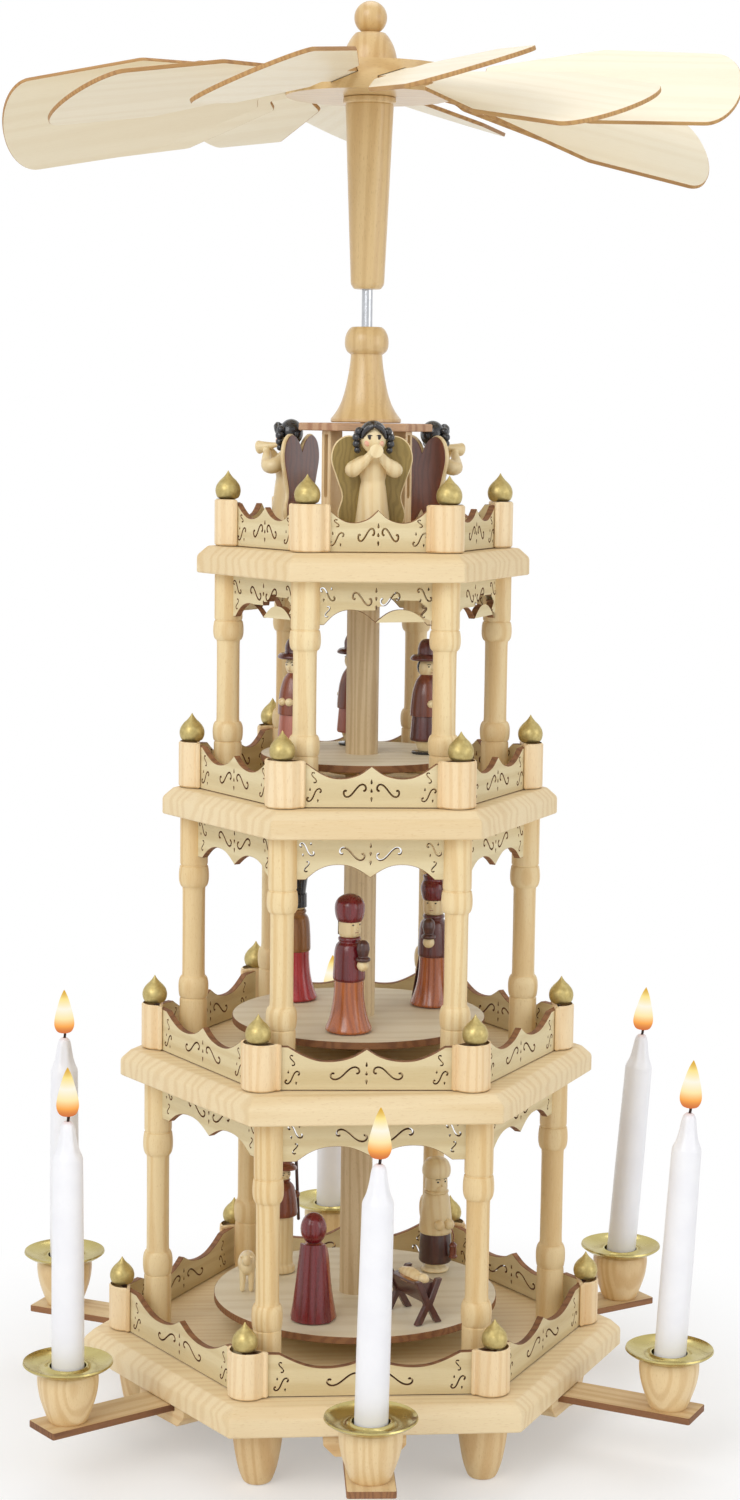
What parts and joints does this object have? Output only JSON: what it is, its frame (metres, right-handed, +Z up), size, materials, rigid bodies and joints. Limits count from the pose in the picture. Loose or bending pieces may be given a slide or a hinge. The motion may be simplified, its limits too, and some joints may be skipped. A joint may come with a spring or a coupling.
{
  "type": "candle carousel",
  "caption": "Tiered wooden candle carousel: hexagonal decks on turned columns, with figures on turntables that turn with a bladed rotor above a ring of candles.",
  "frame": {"origin": "on the rotor's axis, at the height of the surface that the feet stand on", "axes": "+Z up along the rotor's axis, -Y towards the front, +X to the right seen from the front"},
  "size_m": [0.3165, 0.3466, 0.6378],
  "materials": {
    "pine": "satin",
    "beech": "satin",
    "birch_ply": "matte",
    "pale_wood": "satin",
    "stained_red": "gloss",
    "stained_brown": "satin",
    "brass": "polished",
    "steel": "bright",
    "wax": "satin"
  },
  "bodies": {
    "stand": {"base_board": "pine", "deck_board_1": "pine", "deck_board_2": "pine", "deck_board_3": "pine", "railing_1": "birch_ply", "railing_2": "birch_ply", "railing_3": "birch_ply", "railing_4": "birch_ply", "arcade_1": "beech", "arcade_2": "beech", "arcade_3": "beech", "candle_arm_front": "birch_ply", "candle_arm_front_right": "birch_ply", "candle_arm_back_right": "birch_ply", "candle_arm_back": "birch_ply", "candle_arm_back_left": "birch_ply", "candle_arm_front_left": "birch_ply", "drip_tray_front": "brass", "drip_tray_front_right": "brass", "drip_tray_back_right": "brass", "drip_tray_back": "brass", "drip_tray_back_left": "brass", "drip_tray_front_left": "brass", "roof_stand": "birch_ply", "bell_cap": "beech", "angel_front": "pale_wood", "angel_right": "pale_wood", "angel_left": "pale_wood", "bearing_cup": "brass"},
    "carousel": {"steel_rod": "steel", "turntable_1": "birch_ply", "turntable_2": "birch_ply", "turntable_3": "birch_ply", "figure_woman": "stained_red", "figure_bearded_man": "pale_wood", "figure_herdsman": "stained_brown", "manger": "stained_brown", "figure_lamb": "pale_wood", "king_1": "stained_red", "king_2": "stained_red", "king_3": "stained_red", "rotor_hub": "beech", "rotor_blade_01": "birch_ply", "rotor_blade_02": "birch_ply", "rotor_blade_03": "birch_ply", "rotor_blade_04": "birch_ply", "rotor_blade_05": "birch_ply", "rotor_blade_06": "birch_ply", "rotor_blade_07": "birch_ply", "rotor_blade_08": "birch_ply", "rotor_blade_09": "birch_ply", "rotor_blade_10": "birch_ply", "rotor_blade_11": "birch_ply", "rotor_blade_12": "birch_ply"},
    "front_candle": {"candle_front": "wax"},
    "front_right_candle": {"candle_front_right": "wax"},
    "back_right_candle": {"candle_back_right": "wax"},
    "back_candle": {"candle_back": "wax"},
    "back_left_candle": {"candle_back_left": "wax"},
    "front_left_candle": {"candle_front_left": "wax"}
  },
  "joints": [
    {"name": "carousel_spin", "type": "hinge", "parent": "stand", "child": "carousel", "pos_m": [0, 0, 0.0405], "axis": [0, 0, 1], "continuous": true},
    {"name": "front_candle_lift", "type": "slide", "parent": "stand", "child": "front_candle", "axis": [0.0175, 0, 0.9998], "range_m": [0, 0.012]},
    {"name": "front_right_candle_lift", "type": "slide", "parent": "stand", "child": "front_right_candle", "axis": [0.0523, 0, 0.9986], "range_m": [0, 0.012]},
    {"name": "back_right_candle_lift", "type": "slide", "parent": "stand", "child": "back_right_candle", "axis": [0.0698, 0, 0.9976], "range_m": [0, 0.012]},
    {"name": "back_candle_lift", "type": "slide", "parent": "stand", "child": "back_candle", "axis": [0, 0, 1], "range_m": [0, 0.012]},
    {"name": "back_left_candle_lift", "type": "slide", "parent": "stand", "child": "back_left_candle", "axis": [0, 0, 1], "range_m": [0, 0.012]},
    {"name": "front_left_candle_lift", "type": "slide", "parent": "stand", "child": "front_left_candle", "axis": [0, 0, 1], "range_m": [0, 0.012]}
  ]
}
